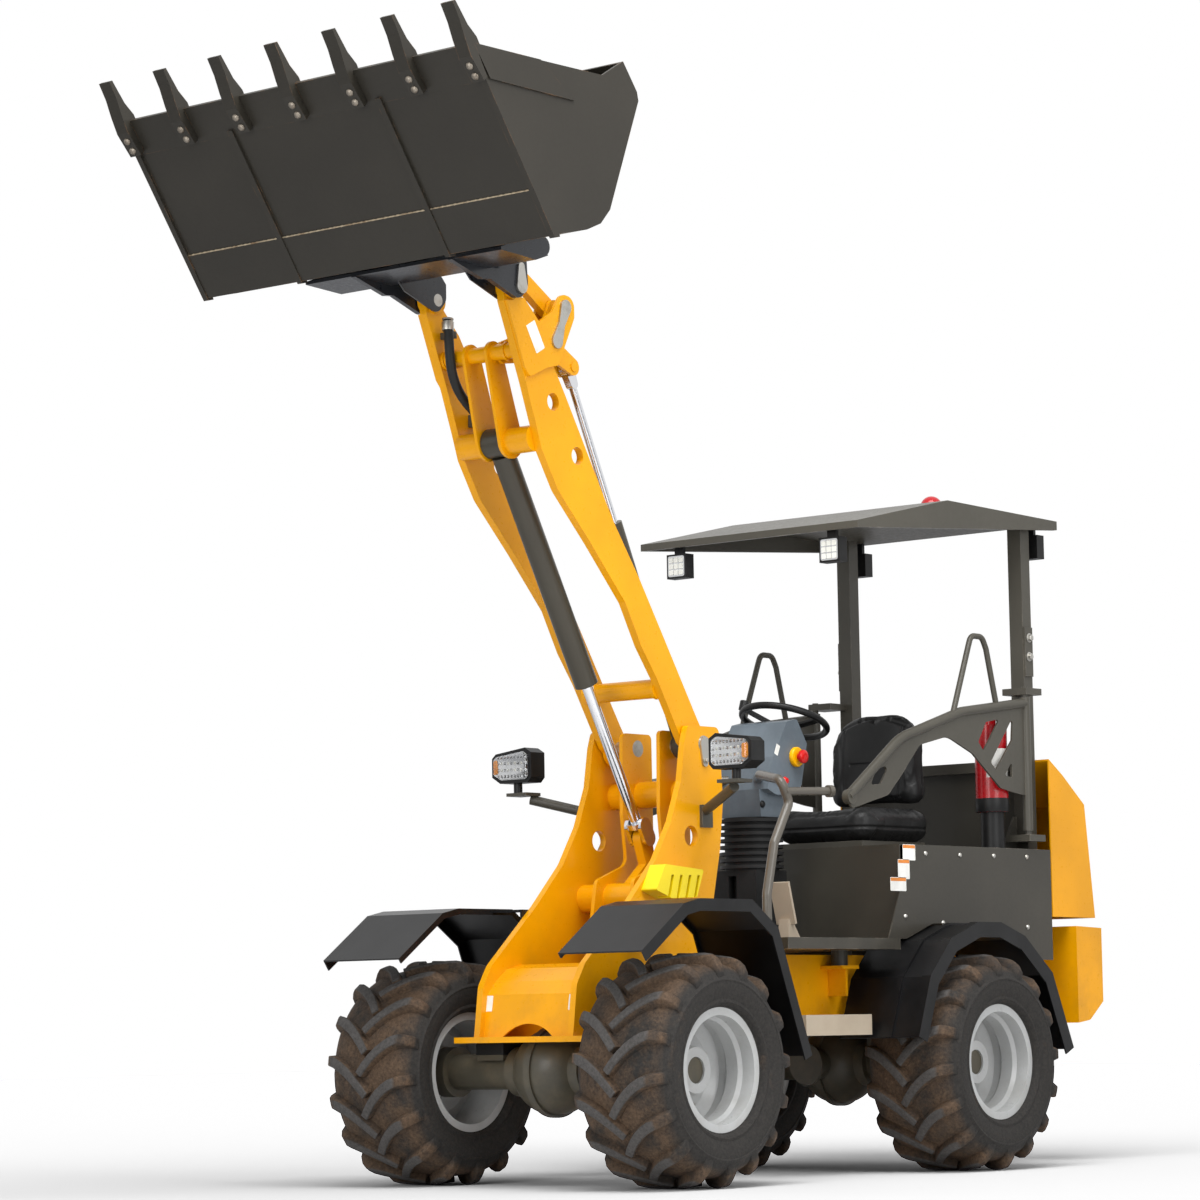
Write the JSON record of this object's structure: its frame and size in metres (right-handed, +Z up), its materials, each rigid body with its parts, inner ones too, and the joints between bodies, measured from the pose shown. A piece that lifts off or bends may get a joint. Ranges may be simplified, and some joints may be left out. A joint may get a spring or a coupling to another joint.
{
  "type": "compact articulated wheel loader",
  "caption": "Compact articulated wheel loader with raised boom, rolled-back toothed bucket, open canopy, side gates and lug tyres.",
  "frame": {"origin": "on the ground at the middle of the overall length and width", "axes": "+X forward, +Y to the machine's left, +Z up"},
  "size_m": [4.0932, 1.624, 3.774],
  "materials": {
    "axle_paint": "grey-brown primer",
    "beacon_red": "red translucent dome",
    "black_plastic": "black moulded plastic",
    "black_rubber": "black rubber",
    "bucket_paint": "dark olive-grey paint, scuffed",
    "cast_engine": "engine block",
    "chrome_rod": "hard chrome",
    "console_plastic": "blue-grey moulded plastic",
    "grey_paint": "warm dark grey satin paint",
    "hitch_paint": "dark blue-grey paint",
    "lamp_white": "lamp lens and housing",
    "machine_paint": "yellow-orange gloss machine enamel",
    "rail_paint": "bronze-grey tube paint",
    "red_paint": "red gloss paint",
    "seat_vinyl": "black vinyl",
    "silver_paint": "silver-grey rim paint",
    "tyre_rubber": "muddy tyre rubber",
    "zinc_steel": "zinc-plated steel"
  },
  "bodies": {
    "rear_frame": {"rear_frame": "machine_paint", "rear_axle": "axle_paint", "engine": "cast_engine", "counterweight": "machine_paint", "floor": "grey_paint", "seat_box": "grey_paint", "side_panels": "grey_paint", "seat_base": "grey_paint", "seat_cushion": "seat_vinyl", "seat_back": "seat_vinyl", "console": "console_plastic", "bellows": "black_rubber", "steering_wheel": "black_plastic", "handrails": "rail_paint", "roof_posts": "grey_paint", "roof": "grey_paint", "roof_lamps": "black_plastic", "beacon": "beacon_red", "extinguisher": "red_paint", "gate_pins": "grey_paint", "rear_fenders": "black_plastic", "steps": "zinc_steel", "pedal": "zinc_steel", "hood_hinge": "grey_paint"},
    "front_frame": {"mast_plates": "machine_paint", "mast_core": "machine_paint", "nose_plate": "machine_paint", "steering_yoke": "machine_paint", "boom_pins": "zinc_steel", "front_fenders": "black_plastic", "headlamps": "lamp_white", "lamp_arms": "grey_paint", "front_axle": "axle_paint", "wheel_chock": "machine_paint"},
    "boom": {"boom": "machine_paint", "head_pins": "zinc_steel", "head_hose": "black_rubber"},
    "lift_barrel": {"lift_barrel": "axle_paint"},
    "lift_rod": {"lift_rod": "chrome_rod"},
    "tilt_barrel": {"tilt_barrel": "axle_paint"},
    "tilt_rod": {"tilt_rod": "chrome_rod"},
    "rocker": {"rocker": "machine_paint"},
    "tilt_link": {"tilt_link": "machine_paint"},
    "bucket": {"hitch": "hitch_paint", "bucket": "bucket_paint", "bucket_teeth": "bucket_paint", "hitch_pins": "zinc_steel"},
    "hood": {"hood": "machine_paint"},
    "gate_left": {"gate_left": "grey_paint"},
    "gate_right": {"gate_right": "grey_paint"},
    "wheel_front_left": {"tyre_front_left": "tyre_rubber", "rim_front_left": "silver_paint"},
    "wheel_front_right": {"tyre_front_right": "tyre_rubber", "rim_front_right": "silver_paint"},
    "wheel_rear_left": {"tyre_rear_left": "tyre_rubber", "rim_rear_left": "silver_paint"},
    "wheel_rear_right": {"tyre_rear_right": "tyre_rubber", "rim_rear_right": "silver_paint"}
  },
  "joints": [
    {"name": "steering", "type": "hinge", "parent": "rear_frame", "child": "front_frame", "pos_m": [-0.13889, 0, 0.55], "axis": [0, 0, 1], "range_deg": [-35, 35]},
    {"name": "boom_lift", "type": "hinge", "parent": "front_frame", "child": "boom", "pos_m": [0.11011, 0, 1.537], "axis": [0, -1, 0], "range_deg": [-97, 0]},
    {"name": "lift_barrel_swing", "type": "hinge", "parent": "boom", "child": "lift_barrel", "pos_m": [0.93111, 0, 2.558], "axis": [0, -1, 0], "range_deg": [-1.58, 1]},
    {"name": "lift_rod_slide", "type": "slide", "parent": "lift_barrel", "child": "lift_rod", "axis": [-0.4812, 0, -0.8766], "range_m": [-0.50646, 0.002]},
    {"name": "bucket_tilt", "type": "hinge", "parent": "boom", "child": "bucket", "pos_m": [1.07111, 0, 3.06], "axis": [0, 1, 0], "range_deg": [-45, 95]},
    {"name": "rocker_swing", "type": "hinge", "parent": "boom", "child": "rocker", "pos_m": [0.85911, 0, 2.898], "axis": [0, 1, 0], "range_deg": [-23.5, 48.5]},
    {"name": "tilt_link_swing", "type": "hinge", "parent": "rocker", "child": "tilt_link", "pos_m": [0.81144, 0, 3.02217], "axis": [0, 1, 0], "range_deg": [-32.35, 15.85]},
    {"name": "tilt_barrel_swing", "type": "hinge", "parent": "front_frame", "child": "tilt_barrel", "pos_m": [0.11011, 0, 1.537], "axis": [0, -1, 0], "range_deg": [-98, 1]},
    {"name": "tilt_rod_slide", "type": "slide", "parent": "tilt_barrel", "child": "tilt_rod", "axis": [0.4231, 0, 0.9061], "range_m": [-0.04912, 0.10148]},
    {"name": "hood_lift", "type": "hinge", "parent": "rear_frame", "child": "hood", "pos_m": [-1.68089, 0, 1.545], "axis": [0, 1, 0], "range_deg": [0, 60]},
    {"name": "gate_left_swing", "type": "hinge", "parent": "rear_frame", "child": "gate_left", "pos_m": [-1.51889, 0.5, 1.5], "axis": [0, 0, 1], "range_deg": [0, 95]},
    {"name": "gate_right_swing", "type": "hinge", "parent": "rear_frame", "child": "gate_right", "pos_m": [-1.51889, -0.5, 1.5], "axis": [0, 0, -1], "range_deg": [0, 95]},
    {"name": "wheel_front_left_spin", "type": "hinge", "parent": "front_frame", "child": "wheel_front_left", "pos_m": [0.68111, 0.56, 0.3935], "axis": [0, 1, 0], "continuous": true},
    {"name": "wheel_front_right_spin", "type": "hinge", "parent": "front_frame", "child": "wheel_front_right", "pos_m": [0.68111, -0.56, 0.3935], "axis": [0, 1, 0], "continuous": true},
    {"name": "wheel_rear_left_spin", "type": "hinge", "parent": "rear_frame", "child": "wheel_rear_left", "pos_m": [-0.95889, 0.56, 0.3935], "axis": [0, 1, 0], "continuous": true},
    {"name": "wheel_rear_right_spin", "type": "hinge", "parent": "rear_frame", "child": "wheel_rear_right", "pos_m": [-0.95889, -0.56, 0.3935], "axis": [0, 1, 0], "continuous": true}
  ],
  "couplings": [
    {"joint": "lift_barrel_swing", "follows": "boom_lift", "ratio": 0.00593},
    {"joint": "lift_rod_slide", "follows": "boom_lift", "m_per_rad": 0.29797},
    {"joint": "tilt_barrel_swing", "follows": "boom_lift", "ratio": 1},
    {"joint": "rocker_swing", "follows": "bucket_tilt", "ratio": 0.5},
    {"joint": "tilt_link_swing", "follows": "bucket_tilt", "ratio": -0.33},
    {"joint": "tilt_rod_slide", "follows": "bucket_tilt", "m_per_rad": 0.06}
  ]
}
